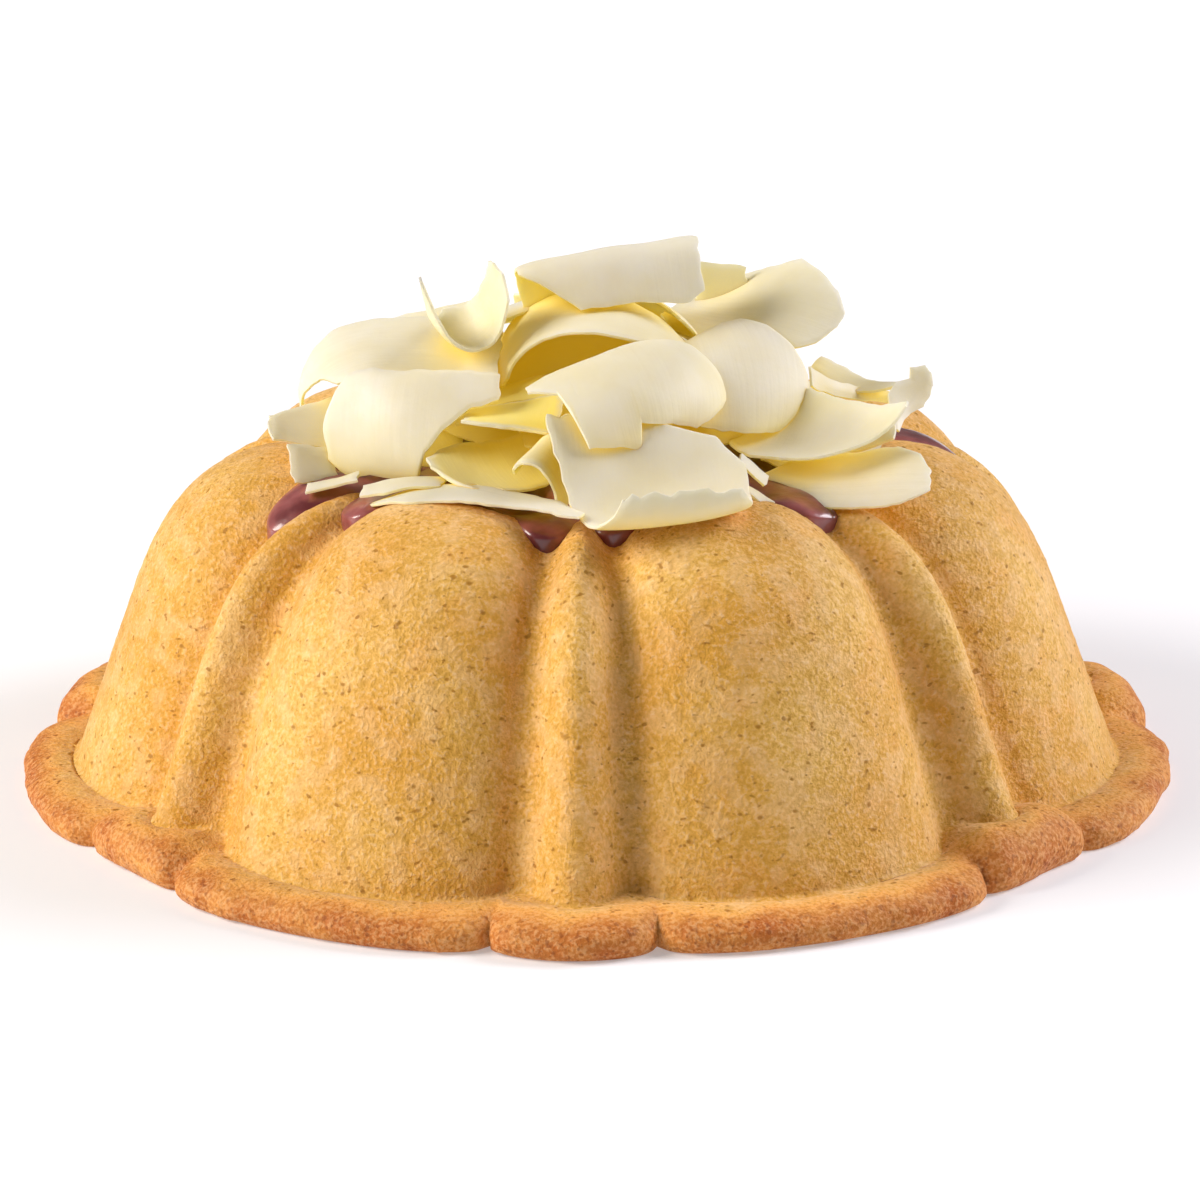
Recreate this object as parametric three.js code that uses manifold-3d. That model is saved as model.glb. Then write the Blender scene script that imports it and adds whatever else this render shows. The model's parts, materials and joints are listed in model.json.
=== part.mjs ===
// A pound cake baked in a fluted ring tin and turned out: seven broad domed lobes with seven
// narrow ribs between them, a skirt of overflow round the foot, a pool of berry cream in the
// dished crown, and a heap of white chocolate shavings on the cream.
// Millimetres, +Z up, origin at the middle of the flat underside, front of the cake towards -Y.

import * as THREE from 'three';
import Module from 'manifold-3d';

const wasm = await Module();
wasm.setup();

// ---------------------------------------------------------------- driving dimensions

const FLUTES = 7;                          // broad lobes, and as many narrow ribs
const PITCH = 360 / FLUTES;                // degrees from one rib to the next
const FRONT_RIB = -2.5;                    // bearing of the front rib, degrees from -Y towards +X
const RIB_HALF = 6.2;                      // degrees from a rib's crest to the groove beside it
const NOTCH = 8.1;                         // degrees from a rib's crest to the notch in the skirt

// Three lines down the tin wall: radius at the foot, lean inwards for each mm of height,
// radius where the crown begins, and height there.
const LOBE = { foot: 113, lean: 0.36, crownRadius: 63, height: 72.5 };
const RIB = { foot: 113.5, lean: 0.39, crownRadius: 58.5, height: 69.5 };
const GROOVE = { foot: 101.6, lean: 0.4, crownRadius: 58.5, height: 63 };
const SHOULDER = 8.5;                      // how sharply the wall turns over into the crown
const LOBE_ROUND = { flat: 2.2, side: 0.6 };
const SOFTEN = 0.9;                        // degrees, over which the baked flutes are rounded off
const RIB_CREST = 0.5;                     // roundness of a rib's crest, by its half width
const DISH_FLOOR = 62;                     // height of the cake under the cream
const DISH_RADIUS = 44;                    // flat floor of the dish

const SKIRT_RADIUS = 118.5;
const SKIRT_HEIGHT = 5.6;
const SKIRT_UNDERCUT = 2.4;                // how far the edge rolls under at the table
const BEAD_WIDTH = 13;                     // the rolled bead, from its edge in to the crease
const BEAD_RISE = 1.4;                     // and its crest above the skirt's height
const BEAD_MIDDLE = 0.42;                  // height of its outermost line, as a share of its crest
const BEAD_END = 130;                      // degrees round the bead to the crease at the wall
const CREASE = 0.4;                        // how far the wall's foot stands above the crease
const NOTCH_DEPTH = 3.6;
const NOTCH_WIDTH = 0.7;                   // degrees
const BROAD_BULGE = 3.3;                   // swell of each broad stretch of the skirt
// each narrow stretch of the skirt, counted from the front rib round by way of +X
const TOE_BULGE = [4, -1, 0.5, 1.5, 0, 1, -1];
const TOE_RISE = [0.6, 4.2, 4.6, 1.5, 1, 4.6, 2.4];

const GAP = 0.3;                           // clearance between pieces that lie on each other

// cream: how far it reaches from the axis, and the tongues that run down the grooves
const CREAM_LEVEL = 71.6;
const CREAM_EDGE = 3.4;                    // thickness of a tongue
const CREAM_REACH = 56;
const CREAM_BRIDGE = 3;                    // degrees, over which it smooths the flutes under it
const TONGUE_WIDTH = 6.8;                  // degrees, at which a tongue falls away
const TONGUES = [
  { at: -60, reach: 76 }, { at: -47.5, reach: 68 }, { at: -28, reach: 63.5 }, { at: -9, reach: 65 },
  { at: 4, reach: 62 }, { at: 43, reach: 68 }, { at: 93, reach: 82 }, { at: 146, reach: 70 },
  { at: 160, reach: 64 }, { at: 198, reach: 71 }, { at: 247, reach: 68 },
];

const SHAVING_THICKNESS = 1.2;
const FACET_TURN = 24;                     // degrees that one facet of a shaving may turn through

// The inside and the far side of the heap: tiers of sheets that lean out from its middle,
// spread evenly between two bearings.
const TIERS = [
  { name: 'low', count: 7, from: 78, to: 284, radius: 47, height: 77, lean: 20 },
  { name: 'mid', count: 5, from: 92, to: 268, radius: 30, height: 87, lean: 32 },
  { name: 'high', count: 2, from: 140, to: 225, radius: 14, height: 98, lean: 30 },
  { name: 'bed', count: 3, from: -48, to: 52, radius: 25, height: 81, lean: 16 },
];
const TIER_SHEET = { length: 40, lengthSpread: 5, width: 25, widthSpread: 4 };

// Each shaving is a sheet cut flat to an outline, then curled and laid on the heap.
//   cut    stations along the sheet: [along, near edge, far edge] in mm
//   bend   degrees of turn for each cm along, and curl, how much that grows for each further cm
//   cup    degrees of turn for each cm across, up to wall degrees where one is given
//   twist  degrees for each cm along
//   turn   heading in plan, rise of the length, and roll about it, in degrees
const SHAVINGS = [
  {
    name: 'top_sheet', at: [2.7, -6, 112.3], turn: [10, 7, -6],
    bend: -3, cup: -150, twist: 4, wall: 72,
    cut: [[-19, -3, 15], [-17, -5, 16], [-8.5, -13.5, 16], [16, -14.5, 15], [19, -12.5, 12]],
  },
  {
    name: 'back_chip', at: [27.5, 14, 98.5], turn: [0, -2, 74],
    cut: [[-6, -8, 6.5], [5, -8, 6]],
  },
  {
    name: 'back_paddle', at: [39, 4, 100], turn: [-30, 6, 31],
    bend: -12, curl: -6, twist: 12,
    cut: [[-23, -12, 6], [-17, -17, 14], [-6, -18, 11],
      [1, -15.5, 11.5], [8, -13, 6], [12, -10, 3], [15, -5, -1.5]],
  },
  {
    name: 'right_dome', at: [30.5, -20, 90.5], turn: [17, -9, 39],
    bend: -17, curl: 2, cup: -22, twist: 10,
    cut: [[-15, -13, 9], [-6.5, -14.5, 13.5], [-1, -14.5, 17],
      [4.5, -13.5, 18], [9, -12.5, 14.5], [13, -8, 8.5], [16, -2, 2]],
  },
  {
    name: 'centre_arch', at: [0, -16, 101], turn: [-4, -3, 12],
    bend: -24, curl: 3, twist: -4,
    cut: [[-28, -6, 4], [-22, -9, 9], [-10, -8, 11], [4, -9, 11], [17, -9, 9], [23, -7, 5]],
  },
  {
    name: 'centre_flag', at: [9.3, -44, 94], turn: [24, 1, 40],
    bend: -15, curl: -3, cup: -35, twist: 7,
    cut: [[-22, 6, 9], [-17, 2, 13.5], [-15, -12, 13], [-3.5, -14.5, 12],
      [-2.5, -9, 12], [13, -10, 14], [20, -5, 13], [25, -1, 5]],
  },
  {
    name: 'front_scoop', at: [10.8, -65, 71.3], turn: [95, 13, -3],
    bend: 45, curl: -14.5, cup: 7, twist: 2,
    cut: [[-16, -18, 6], [-12, -19, 8], [-8, -19.5, 10.5], [3, -20, 15],
      [11, -20.5, 16.5], [19, -15, 18], [24, -3, 18.5], [25, 9, 18.5]],
  },
  {
    name: 'small_roll', at: [-10.5, -48, 81.3], turn: [-115, -14, 0],
    cup: -170, wall: 82,
    cut: [[-7, -4, 9], [-3, -5, 12], [5, -6, 13], [6.5, -4, 11]],
  },
  {
    name: 'left_sheet', at: [-39, -34, 84], turn: [-20, 4, 66],
    bend: -10, curl: -1, cup: -29, twist: -5,
    cut: [[-18, -7.5, -0.5], [-16, -10.5, 6], [-14, -11.5, 10.5], [3.5, -12.5, 11.5],
      [5.5, -6.5, 11.5], [9, -2, 12], [14, 2.5, 12.5], [20, 5.5, 13]],
  },
  {
    name: 'back_left_bow', at: [-39, -14, 95], turn: [-2, 0, 24],
    bend: -12, curl: 6, twist: -3,
    cut: [[-37, 0, 4], [-28, -2, 4.5], [-19, -4, 6.5], [-14, -9, 8], [4, -12, 9], [20, -12, 9]],
  },
  {
    name: 'back_left_chip', at: [-35, 6, 93.5], turn: [-12, 13, 48],
    bend: -4, twist: 1,
    cut: [[-12, -4, 2], [-8, -7, 4], [3, -7, 4.5], [14, -7, 5]],
  },
  {
    name: 'horn_curl', at: [-25.5, -15, 97], turn: [111, 22, -15],
    bend: 26, cup: 108, twist: -6, wall: 80,
    cut: [[-8, -13, 22], [-2, -17, 15], [4, -18, 7], [8, -17, 3]],
  },
  {
    name: 'left_wing', at: [-58, -18, 79], turn: [6, -4, 32],
    bend: 10, twist: 7,
    cut: [[-9.5, 0, 1.5], [-8, -5, 2], [-5.5, -5, 3.5], [-1, -6, 5.5], [4, -7, 7.5], [7, 3, 5.5]],
  },
  {
    name: 'left_fold', at: [-57.5, -28, 73.5], turn: [17, -2, 48],
    bend: 3, twist: -3,
    cut: [[-4.5, -4, 4.5], [4.5, -4, 3.5]],
  },
  {
    name: 'left_sliver', at: [-53, -36, 71.5], turn: [-9, 14, 9],
    twist: -3,
    cut: [[-5.5, -2, 2], [5.5, -2, 2]],
  },
  {
    name: 'lower_left_strip', at: [-38.5, -44, 73], turn: [-13, 6, 7],
    bend: -5, twist: -5,
    cut: [[-8.5, -4, 1], [-3, -4.5, 3], [8, -2, 5]],
  },
  {
    name: 'long_strip', at: [-23.5, -54, 73.5], turn: [-29, 1, 3],
    bend: -5, curl: 2, twist: 2,
    cut: [[-26, -1, 1.5], [-20, -5.5, 5], [-12, -7.5, 5.5],
      [3, -5, 4.5], [12, -3, 4], [18, -2.5, 2.5], [24.5, -3, -1]],
  },
  {
    name: 'wedge_upper', at: [-17, -34, 84.5], turn: [-7, 0, 6],
    twist: 9,
    cut: [[-9, -7, 0], [-5, -7.5, 7], [10, -7, 9.5]],
  },
  {
    name: 'wedge_lower', at: [-22.5, -42, 74], turn: [24, -4, 12],
    bend: 6, cup: 19, twist: 5,
    cut: [[-9.5, 4, 8], [-6, -9, 10], [-1.5, -12, 11], [7.5, -9, 11], [13, -5, 11], [17, 0, 10.5]],
  },
  {
    name: 'under_arch', at: [-1, -13, 91], turn: [-8, 1, 34],
    bend: -8, twist: 2,
    cut: [[-23, -11, 6], [-18, -13, 9], [16, -12, 9], [22, -8, 6]],
  },
  {
    name: 'under_flag', at: [-10, -27, 85.5], turn: [-13, 0, 22],
    bend: -9, twist: 7,
    cut: [[-17, -8, 6], [-4, -10, 10], [15, -8, 8]],
  },
  {
    name: 'right_leaf', at: [45.5, -28, 77.5], turn: [-23, 13, 21],
    bend: 12, cup: 25, twist: 5,
    cut: [[-21, -0.5, 1.5], [-12, -10, 14], [-4, -13.5, 14.5],
      [4.5, -13, 10], [13, -8, 5], [20, -3, 1.5], [22.5, -1, 0.5]],
  },
  {
    name: 'right_hook', at: [65, -8, 81], turn: [49, 38, 54],
    bend: 25, twist: 4,
    cut: [[-8.5, -2, -0.5], [-5, -1.5, 2], [-2.5, -2, 4],
      [0.5, -4, 4], [3.5, -3.5, 2], [5.5, -3, 3.5], [7.5, -0.5, 1]],
  },
  {
    name: 'back_right_upper', at: [55, 2, 81.5], turn: [-21, -7, 8],
    bend: 25, twist: -10,
    cut: [[-10, -1.5, 3.5], [-4, -4, 4.5], [10, -4.5, 0]],
  },
  {
    name: 'back_right_lower', at: [52, -4, 81], turn: [36, -18, 64],
    bend: 25, twist: 1,
    cut: [[-12.5, -1.5, 3], [12.5, -1, 1.5]],
  },
  {
    name: 'right_tongue', at: [50, -40, 71.5], turn: [-16, 7, 24],
    bend: 1, curl: -2, twist: 2,
    cut: [[-17.5, 0, 3], [-10.5, -2.5, 9.5], [-6, -8, 9.5],
      [3, -8.5, 9.5], [10, -8, 10], [15, -6, 7], [18, -3, 2]],
  },
  {
    name: 'right_chip', at: [56, -22, 75], turn: [-20, 18, 14],
    bend: 2, twist: 9,
    cut: [[-6, -4.5, 0], [6, -1, 4]],
  },
  {
    name: 'splinter_a', at: [31.5, -48, 76.5], turn: [5, -48, 25],
    bend: -2, twist: 14,
    cut: [[-3.5, -2, 1.5], [3.5, -1.5, 2]],
  },
  {
    name: 'splinter_b', at: [32, -52, 72.5], turn: [12, -35, 9],
    twist: 8,
    cut: [[-4.5, -2, 2], [1, -2.5, 2.5], [5, -0.5, 1.5]],
  },
];

// ---------------------------------------------------------------- small helpers

const rad = THREE.MathUtils.degToRad;
const mix = THREE.MathUtils.lerp;
const smooth = THREE.MathUtils.smoothstep;

// signed degrees from one bearing to another, -180 to 180
function away(from, to) {
  return THREE.MathUtils.euclideanModulo(to - from + 180, 360) - 180;
}

function polar(radius, bearing, height) {
  const angle = rad(bearing);
  return new THREE.Vector3(radius * Math.sin(angle), -radius * Math.cos(angle), height);
}

// ---------------------------------------------------------------- the tin's shape

// Which rib a bearing is nearest to, and how far off it is.
function nearestRib(bearing) {
  const turn = THREE.MathUtils.euclideanModulo(bearing - FRONT_RIB, 360) / PITCH;
  const index = Math.round(turn) % FLUTES;
  return { index, off: away(FRONT_RIB + index * PITCH, bearing) };
}

// The tin's line at a bearing: a blend from the groove up to the rib or the lobe beside it.
function tinLine(bearing) {
  const off = Math.abs(nearestRib(bearing).off);
  let crest = RIB;
  let swell;
  if (off < RIB_HALF) {
    const across = off / RIB_HALF;
    const round = Math.hypot(across, RIB_CREST) - RIB_CREST;
    swell = 1 - round / (Math.hypot(1, RIB_CREST) - RIB_CREST);
  } else {
    crest = LOBE;
    const across = THREE.MathUtils.clamp((PITCH / 2 - off) / (PITCH / 2 - RIB_HALF), 0, 1);
    swell = (1 - across ** LOBE_ROUND.flat) ** LOBE_ROUND.side;
  }
  return {
    foot: mix(GROOVE.foot, crest.foot, swell),
    lean: mix(GROOVE.lean, crest.lean, swell),
    crownRadius: mix(GROOVE.crownRadius, crest.crownRadius, swell),
    height: mix(GROOVE.height, crest.height, swell),
  };
}

// The baked wall's line: the tin's, rounded off where it turns sharply.
function wallLine(bearing) {
  const lines = [-2, -1, 0, 1, 2].map((step) => tinLine(bearing + step * SOFTEN));
  const mean = (key) => lines.reduce((sum, line) => sum + line[key], 0) / lines.length;
  return {
    foot: mean('foot'), lean: mean('lean'), crownRadius: mean('crownRadius'), height: mean('height'),
  };
}

// Radius of the wall at a height, leaning in and then turning over into the crown.
function wallRadius(line, height) {
  const up = height / line.height;
  const open = Math.sqrt(Math.max(0, 1 - up ** SHOULDER));
  return line.crownRadius + (line.foot - line.lean * height - line.crownRadius) * open;
}

// Height of the crown inside the crest, falling to the floor of the dish.
function crownHeight(line, radius) {
  return mix(DISH_FLOOR, line.height, smooth(radius, DISH_RADIUS, line.crownRadius));
}

function skirtRadius(bearing) {
  const { index, off } = nearestRib(bearing);
  const side = Math.abs(off);
  const notch = NOTCH_DEPTH * Math.exp(-Math.abs(side - NOTCH) / NOTCH_WIDTH);
  if (side < NOTCH) {
    return SKIRT_RADIUS + TOE_BULGE[index] * (1 - (side / NOTCH) ** 2) - notch;
  }
  const across = (PITCH / 2 - side) / (PITCH / 2 - NOTCH);
  return SKIRT_RADIUS + BROAD_BULGE * (1 - across ** 4) - notch;
}

function skirtHeight(bearing) {
  const { index, off } = nearestRib(bearing);
  const share = smooth(NOTCH * 1.1 - Math.abs(off), 0, NOTCH * 0.5);
  return SKIRT_HEIGHT + TOE_RISE[index] * share;
}

// The skirt's rolled bead, by an angle that runs from -90 at the table, over 0 at its outer
// edge, to BEAD_END in the crease at the wall's foot.
function beadPoint(bearing, angle, grow) {
  const edge = skirtRadius(bearing);
  const crest = skirtHeight(bearing) + BEAD_RISE;
  const middle = BEAD_MIDDLE * crest;
  const inside = wallRadius(wallLine(bearing), middle);
  const width = Math.min(edge - inside, BEAD_WIDTH) / (1 - Math.cos(rad(BEAD_END)));
  const inset = (angle < 0 ? SKIRT_UNDERCUT : width) * (1 - Math.cos(rad(angle)));
  const height = middle + (angle < 0 ? middle : crest - middle) * Math.sin(rad(angle));
  return polar(edge - inset + grow, bearing, height);
}

// ---------------------------------------------------------------- solids from rings and sheets

function toSolid(vertices, triangles) {
  return new wasm.Manifold(new wasm.Mesh({
    numProp: 3,
    vertProperties: new Float32Array(vertices),
    triVerts: new Uint32Array(triangles),
  }));
}

// A closed solid from rings of equal length, first to last, with a point at each end.
function ringSolid(first, rings, last) {
  const count = rings[0].length;
  const points = [first, ...rings.flat(), last];
  const triangles = [];
  for (let k = 0; k < count; k += 1) {
    const next = (k + 1) % count;
    triangles.push(0, 1 + next, 1 + k);
    for (let ring = 1; ring < rings.length; ring += 1) {
      const below = 1 + (ring - 1) * count;
      const above = below + count;
      triangles.push(below + k, below + next, above + next, below + k, above + next, above + k);
    }
    const top = 1 + (rings.length - 1) * count;
    triangles.push(top + k, top + next, points.length - 1);
  }
  return toSolid(points.flatMap((point) => point.toArray()), triangles);
}

// ---------------------------------------------------------------- the cake

// Bearings from a rib's crest to the middle of the next lobe, closer together at the edges.
const HALF_FLUTE = [0, 2.4, 4.4, RIB_HALF, NOTCH, 9.4, 12.6, 17, 21.4];
const BEAD_STEPS = [-90, -35, 0, 40, 80, 110, BEAD_END];
const WALL_STEPS = [0.34, 0.58, 0.76, 0.87, 0.945, 0.985, 1];
const CROWN_STEPS = [0.86];

function bearings() {
  const list = [];
  for (let flute = 0; flute < FLUTES; flute += 1) {
    const rib = FRONT_RIB + flute * PITCH;
    HALF_FLUTE.forEach((step) => list.push(rib + step));
    list.push(rib + PITCH / 2);
    HALF_FLUTE.slice(1).reverse().forEach((step) => list.push(rib + PITCH - step));
  }
  return list;
}

function cakeSolid(grow) {
  const around = bearings();
  const ring = (radius, height) => around.map(
    (bearing) => polar(radius(bearing), bearing, height(bearing)),
  );
  const rings = BEAD_STEPS.map((angle) => around.map((bearing) => beadPoint(bearing, angle, grow)));
  const foot = (bearing) => beadPoint(bearing, BEAD_END, 0).z + CREASE;
  rings.push(ring((bearing) => wallRadius(wallLine(bearing), foot(bearing)) + grow, foot));
  WALL_STEPS.forEach((step) => {
    rings.push(ring(
      (bearing) => wallRadius(wallLine(bearing), step * wallLine(bearing).height) + grow,
      (bearing) => step * wallLine(bearing).height + grow,
    ));
  });
  CROWN_STEPS.forEach((step) => {
    rings.push(ring(
      (bearing) => wallLine(bearing).crownRadius * step,
      (bearing) => crownHeight(wallLine(bearing), wallLine(bearing).crownRadius * step) + grow,
    ));
  });
  rings.push(ring(() => DISH_RADIUS, () => DISH_FLOOR + grow));
  return ringSolid(new THREE.Vector3(0, 0, 0), rings, new THREE.Vector3(0, 0, DISH_FLOOR + grow));
}

// ---------------------------------------------------------------- the berry cream

// Height of the cake's upper surface at a bearing and radius.
function surfaceHeight(bearing, radius) {
  const line = wallLine(bearing);
  if (radius <= line.crownRadius) return crownHeight(line, radius);
  let low = line.height * 0.5;
  let high = line.height;
  for (let pass = 0; pass < 24; pass += 1) {
    const middle = (low + high) / 2;
    if (wallRadius(line, middle) > radius) low = middle;
    else high = middle;
  }
  return low;
}

// The cake's surface as the cream lies over it, smoothed from flute to flute.
function bridgedHeight(bearing, radius) {
  const steps = [-2, -1, 0, 1, 2];
  const heights = steps.map((step) => surfaceHeight(bearing + step * CREAM_BRIDGE, radius));
  return heights.reduce((sum, height) => sum + height, 0) / steps.length;
}

function creamReach(bearing) {
  const tongues = TONGUES.map(({ at, reach }) => {
    const across = away(at, bearing) / TONGUE_WIDTH;
    return (reach - CREAM_REACH) * Math.exp(-(across ** 2));
  });
  return CREAM_REACH + Math.max(...tongues);
}

const CREAM_RINGS = [1, 0.97, 0.9, 0.74];
const CREAM_SIDES = 84;

function creamSolid(cake, grow) {
  const around = Array.from({ length: CREAM_SIDES }, (_, k) => FRONT_RIB + (k * 360) / CREAM_SIDES);
  const under = around.map((bearing) => polar(creamReach(bearing) - 2, bearing, DISH_FLOOR - 8));
  const over = CREAM_RINGS.map((share) => around.map((bearing) => {
    const radius = creamReach(bearing) * share;
    const film = CREAM_EDGE * Math.sqrt(1 - share ** 5) + grow;
    const lying = bridgedHeight(bearing, radius) + film;
    const pool = 1 - smooth(share, 0.66, 0.97);
    return polar(radius + grow, bearing, mix(lying, Math.max(lying, CREAM_LEVEL + grow), pool));
  }));
  const bottom = new THREE.Vector3(0, 0, DISH_FLOOR - 8);
  const top = new THREE.Vector3(0, 0, CREAM_LEVEL + grow);
  const blob = ringSolid(bottom, [under, ...over], top);
  return largest(blob.subtract(cake));
}

// ---------------------------------------------------------------- the shavings

// Turns a heading that changes along a line into the points of that line.
function curve(heading, length) {
  const steps = 24;
  const point = new THREE.Vector2();
  for (let k = 0; k < steps; k += 1) {
    const angle = heading((length * (k + 0.5)) / steps);
    point.x += (Math.cos(angle) * length) / steps;
    point.y += (Math.sin(angle) * length) / steps;
  }
  return point;
}

// A point of a shaving, from its place on the flat sheet and its height above the middle plane.
function shavingPoint(shaving, along, across, lift) {
  const { bend = 0, curl = 0, cup = 0, twist = 0, wall = 180 } = shaving;
  const lengthways = (mm) => rad(bend * (mm / 10) + curl * (mm / 10) ** 2);
  const sideways = (mm) => rad(wall * Math.tanh((cup * (mm / 10)) / wall));
  const spine = curve(lengthways, along);
  const section = curve(sideways, across);
  const tilt = sideways(across);
  const flat = new THREE.Vector2(section.x - lift * Math.sin(tilt), section.y + lift * Math.cos(tilt));
  flat.rotateAround(new THREE.Vector2(), rad(twist * (along / 10)));
  const heading = lengthways(along);
  return new THREE.Vector3(
    spine.x - flat.y * Math.sin(heading), flat.x, spine.y + flat.y * Math.cos(heading),
  );
}

// How many facets a stretch of a sheet needs, from its turn in degrees for each cm.
function facets(length, rate) {
  return Math.max(1, Math.ceil(((length / 10) * rate) / FACET_TURN));
}

// The stations with more between them where the sheet bends.
function stations({ cut, bend = 0, curl = 0, twist = 0 }) {
  const list = [cut[0]];
  for (let k = 1; k < cut.length; k += 1) {
    const middle = (cut[k][0] + cut[k - 1][0]) / 20;
    const rate = Math.max(Math.abs(bend + 2 * curl * middle), Math.abs(twist));
    const pieces = facets(cut[k][0] - cut[k - 1][0], rate);
    for (let part = 1; part <= pieces; part += 1) {
      list.push(cut[k].map((value, item) => mix(cut[k - 1][item], value, part / pieces)));
    }
  }
  return list;
}

function shavingSolid(shaving, grow) {
  const rows = stations(shaving);
  const widest = Math.max(...rows.map(([, near, far]) => far - near));
  const columns = facets(widest, Math.abs(shaving.cup ?? 0) + Math.abs(shaving.twist ?? 0));
  const half = SHAVING_THICKNESS / 2 + grow;
  const place = new THREE.Matrix4().makeTranslation(...shaving.at);
  const [yaw, rise, roll] = shaving.turn.map(rad);
  place.multiply(new THREE.Matrix4().makeRotationZ(yaw));
  place.multiply(new THREE.Matrix4().makeRotationY(-rise));
  place.multiply(new THREE.Matrix4().makeRotationX(roll));
  const vertices = [];
  [half, -half].forEach((lift) => {
    rows.forEach(([along, near, far], row) => {
      const end = (row === rows.length - 1) - (row === 0);
      for (let column = 0; column <= columns; column += 1) {
        const across = mix(near - grow, far + grow, column / columns);
        const point = shavingPoint(shaving, along + end * grow, across, lift).applyMatrix4(place);
        vertices.push(...point.toArray());
      }
    });
  });
  const triangles = [];
  const width = columns + 1;
  const sheet = rows.length * width;
  const quad = (a, b, c, d) => triangles.push(a, b, c, a, c, d);
  for (let row = 0; row < rows.length - 1; row += 1) {
    for (let column = 0; column < columns; column += 1) {
      const a = row * width + column;
      quad(a, a + width, a + width + 1, a + 1);
      quad(sheet + a, sheet + a + 1, sheet + a + width + 1, sheet + a + width);
    }
    const near = row * width;
    const far = near + columns;
    quad(near, sheet + near, sheet + near + width, near + width);
    quad(far, far + width, sheet + far + width, sheet + far);
  }
  for (let column = 0; column < columns; column += 1) {
    const end = (rows.length - 1) * width + column;
    quad(column, column + 1, sheet + column + 1, sheet + column);
    quad(end, sheet + end, sheet + end + 1, end + 1);
  }
  return toSolid(vertices, triangles);
}

// An even spread of values from -1 to 1, a different one for each step.
function spread(count, step) {
  return 2 * THREE.MathUtils.euclideanModulo(count * step, 1) - 1;
}

function tierShaving(tier, item, count) {
  const bearing = mix(tier.from, tier.to, item / (tier.count - 1)) + 5 * spread(count, 0.618);
  const radius = tier.radius + 4 * spread(count, 0.7549);
  const half = (TIER_SHEET.length + TIER_SHEET.lengthSpread * spread(count, 0.5698)) / 2;
  const side = (TIER_SHEET.width + TIER_SHEET.widthSpread * spread(count, 0.8192)) / 2;
  const uneven = spread(count, 0.3247);
  return {
    name: `${tier.name}_${item + 1}`,
    at: polar(radius, bearing, tier.height + 1.5 * spread(count, 0.4302)).toArray(),
    turn: [bearing + 20 * spread(count, 0.2451), 7 * spread(count, 0.9057), tier.lean + 8 * uneven],
    bend: -7 + 11 * spread(count, 0.1487),
    cup: -8 + 14 * spread(count, 0.6823),
    twist: 6 * spread(count, 0.3819),
    cut: [
      [-half, -side * (0.5 + 0.3 * uneven), side * 0.5],
      [-half * 0.7, -side, side * 0.9],
      [half * 0.6, -side * 0.9, side],
      [half, -side * 0.4, side * (0.5 - 0.3 * uneven)],
    ],
  };
}

// The biggest piece of a solid that a cut has left in several.
function largest(solid) {
  const pieces = solid.decompose();
  return pieces.reduce((best, piece) => (piece.volume() > best.volume() ? piece : best));
}

// ---------------------------------------------------------------- the finished object

const CRUST = new THREE.MeshStandardMaterial({ color: 0xdcae62, roughness: 0.9, metalness: 0 });
const CREAM = new THREE.MeshStandardMaterial({ color: 0x6e3238, roughness: 0.3, metalness: 0 });
const CHOCOLATE = new THREE.MeshStandardMaterial({ color: 0xf1e6c0, roughness: 0.5, metalness: 0 });

function toMesh(name, solid, material) {
  const { vertProperties, triVerts } = solid.getMesh();
  const geometry = new THREE.BufferGeometry();
  geometry.setAttribute('position', new THREE.BufferAttribute(new Float32Array(vertProperties), 3));
  geometry.setIndex(new THREE.BufferAttribute(new Uint32Array(triVerts), 1));
  const mesh = new THREE.Mesh(geometry, material);
  mesh.name = name;
  return mesh;
}

const group = new THREE.Group();
const cakeGrown = cakeSolid(GAP);
group.add(toMesh('cake', cakeSolid(0), CRUST));
group.add(toMesh('berry_cream', creamSolid(cakeGrown, 0), CREAM));

// Every shaving is laid clear of the cake, the cream and the shavings laid before it.
const tiers = TIERS.flatMap((tier, row) => Array.from(
  { length: tier.count }, (_, item) => tierShaving(tier, item, 10 * row + item + 1),
));
let taken = cakeGrown.add(creamSolid(cakeSolid(0), GAP));
[...SHAVINGS, ...tiers].forEach((shaving) => {
  const solid = largest(shavingSolid(shaving, 0).subtract(taken));
  group.add(toMesh(`shaving_${shaving.name}`, solid, CHOCOLATE));
  taken = taken.add(shavingSolid(shaving, GAP));
});

export default group;
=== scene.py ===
import json
import math

import bpy
import bmesh
import numpy as np
from mathutils import Matrix, Vector

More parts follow.
